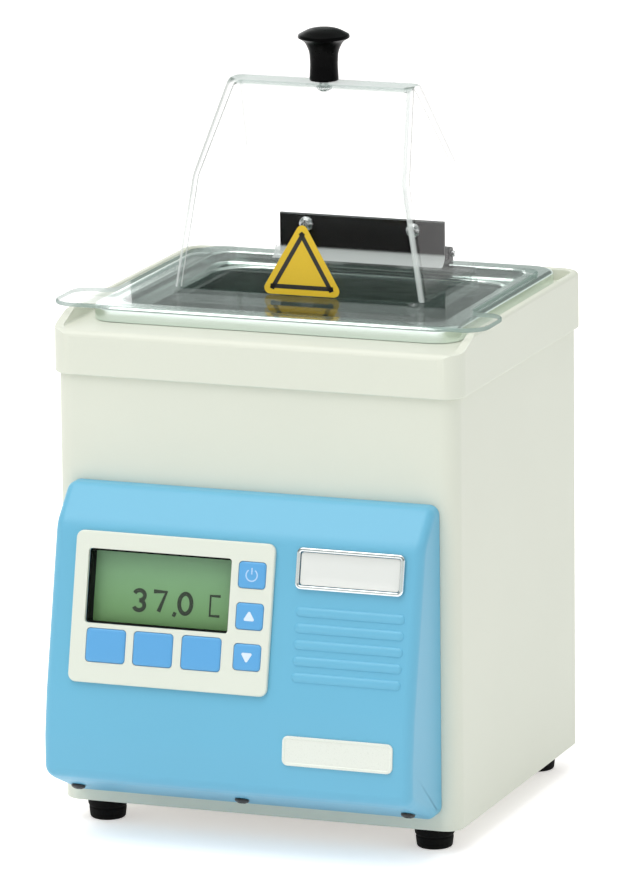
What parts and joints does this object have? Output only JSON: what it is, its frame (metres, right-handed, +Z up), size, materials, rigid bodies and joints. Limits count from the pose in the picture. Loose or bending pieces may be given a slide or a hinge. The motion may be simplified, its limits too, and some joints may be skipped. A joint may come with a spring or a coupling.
{
  "type": "water bath",
  "caption": "Small bench-top laboratory water bath with a lift-up clear gable lid, a stainless tank and a wedge-shaped keypad and display panel.",
  "frame": {"origin": "on the bench, under the middle of the whole object's box", "axes": "+Z up, +X to the right as seen from the front, and the control panel faces -Y"},
  "size_m": [0.226, 0.2374, 0.3886],
  "materials": {
    "cream_paint": "satin cream powder coat",
    "foot_rubber": "matt black rubber",
    "fastener_steel": "plain bright steel",
    "panel_blue": "lightly textured light blue moulding",
    "bezel_cream": "fine-textured off-white moulding",
    "window_clear": "clear display window",
    "display_green": "grey-green liquid crystal display",
    "circuit_board": "green circuit board",
    "key_blue": "soft-touch blue key",
    "badge_chrome": "bright plated frame",
    "label_white": "blank white label",
    "dark_plastic": "black moulding",
    "stainless_steel": "polished and brushed stainless steel",
    "jacket_foam": "pale insulating felt",
    "heater_rubber": "orange silicone heater mat",
    "lid_clear": "clear polycarbonate",
    "marker_yellow": "plain yellow and black plate"
  },
  "bodies": {
    "base": {"housing_shell": "cream_paint", "top_cover": "cream_paint", "base_plate": "cream_paint", "foot_front_left": "foot_rubber", "foot_front_right": "foot_rubber", "foot_rear_left": "foot_rubber", "foot_rear_right": "foot_rubber", "foot_screw_front_left": "fastener_steel", "foot_screw_front_right": "fastener_steel", "foot_screw_rear_left": "fastener_steel", "foot_screw_rear_right": "fastener_steel", "control_panel": "panel_blue", "display_bezel": "bezel_cream", "display_window": "window_clear", "display_module": "display_green", "display_board": "circuit_board", "badge_frame": "badge_chrome", "badge_plate": "label_white", "name_label": "label_white", "panel_screw_left": "dark_plastic", "panel_screw_middle": "dark_plastic", "panel_screw_right": "dark_plastic", "tank": "stainless_steel", "tank_gasket": "foot_rubber", "insulation_jacket": "jacket_foam", "heater_mat": "heater_rubber", "overheat_thermostat": "dark_plastic", "temperature_probe": "stainless_steel", "control_board": "circuit_board", "transformer": "fastener_steel", "power_inlet": "dark_plastic", "switch_frame": "dark_plastic", "heater_cable": "dark_plastic", "mains_cable": "dark_plastic", "ribbon_cable": "dark_plastic", "rim_hinge_leaf": "stainless_steel", "hinge_pin": "fastener_steel", "rim_screw_left": "fastener_steel", "rim_screw_right": "fastener_steel"},
    "lid": {"lid_canopy": "lid_clear", "lid_knob": "dark_plastic", "knob_screw": "fastener_steel", "triangle_marker": "marker_yellow", "lid_hinge_leaf": "stainless_steel", "lid_screw_left": "fastener_steel", "lid_screw_right": "fastener_steel", "lid_nut_left": "fastener_steel", "lid_nut_right": "fastener_steel"},
    "soft_key_left": {"soft_key_left": "key_blue"},
    "soft_key_middle": {"soft_key_middle": "key_blue"},
    "soft_key_right": {"soft_key_right": "key_blue"},
    "power_key": {"power_key": "key_blue"},
    "up_key": {"up_key": "key_blue"},
    "down_key": {"down_key": "key_blue"},
    "rocker": {"power_rocker": "dark_plastic"},
    "tray": {"diffuser_tray": "stainless_steel"}
  },
  "joints": [
    {"name": "lid_hinge", "type": "hinge", "parent": "base", "child": "lid", "pos_m": [0, 0.09219, 0.2654], "axis": [-1, 0, 0], "range_deg": [0, 100]},
    {"name": "soft_key_left_press", "type": "slide", "parent": "base", "child": "soft_key_left", "axis": [0, 0.9767, -0.2144], "range_m": [0, 0.0009]},
    {"name": "soft_key_middle_press", "type": "slide", "parent": "base", "child": "soft_key_middle", "axis": [0, 0.9767, -0.2144], "range_m": [0, 0.0009]},
    {"name": "soft_key_right_press", "type": "slide", "parent": "base", "child": "soft_key_right", "axis": [0, 0.9767, -0.2144], "range_m": [0, 0.0009]},
    {"name": "power_key_press", "type": "slide", "parent": "base", "child": "power_key", "axis": [0, 0.9767, -0.2144], "range_m": [0, 0.0009]},
    {"name": "up_key_press", "type": "slide", "parent": "base", "child": "up_key", "axis": [0, 0.9767, -0.2144], "range_m": [0, 0.0009]},
    {"name": "down_key_press", "type": "slide", "parent": "base", "child": "down_key", "axis": [0, 0.9767, -0.2144], "range_m": [0, 0.0009]},
    {"name": "power_switch_rock", "type": "hinge", "parent": "base", "child": "rocker", "pos_m": [-0.024, 0.11369, 0.046], "axis": [-1, 0, 0], "range_deg": [0, 18]},
    {"name": "tray_lift", "type": "slide", "parent": "base", "child": "tray", "axis": [0, 0, 1], "range_m": [0, 0.1]}
  ]
}
